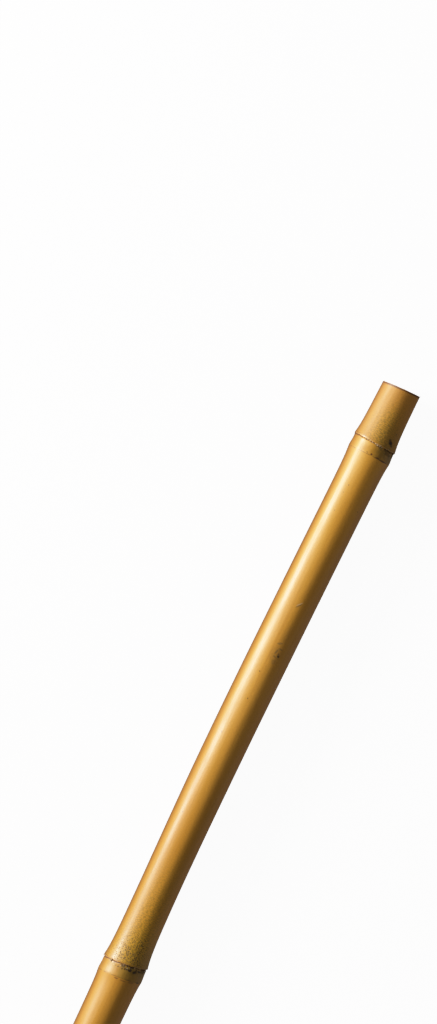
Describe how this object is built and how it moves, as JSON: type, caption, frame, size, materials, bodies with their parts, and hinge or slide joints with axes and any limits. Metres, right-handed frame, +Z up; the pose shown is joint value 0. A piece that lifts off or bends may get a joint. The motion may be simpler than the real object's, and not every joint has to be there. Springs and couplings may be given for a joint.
{
  "type": "bamboo cane",
  "caption": "Straight cut bamboo cane lying down, with flared sheath scars and round ridges at its nodes, slightly bent, its cut ends hollow.",
  "frame": {"origin": "middle of the cane's bounding box, at the height of the surface it lies on", "axes": "+X along the cane from its butt end to its tip end, +Y across it, +Z up from the surface it lies on"},
  "size_m": [0.9004, 0.0318, 0.0266],
  "materials": {
    "culm": "satin"
  },
  "bodies": {
    "root": {"cane": "culm"}
  },
  "joints": []
}
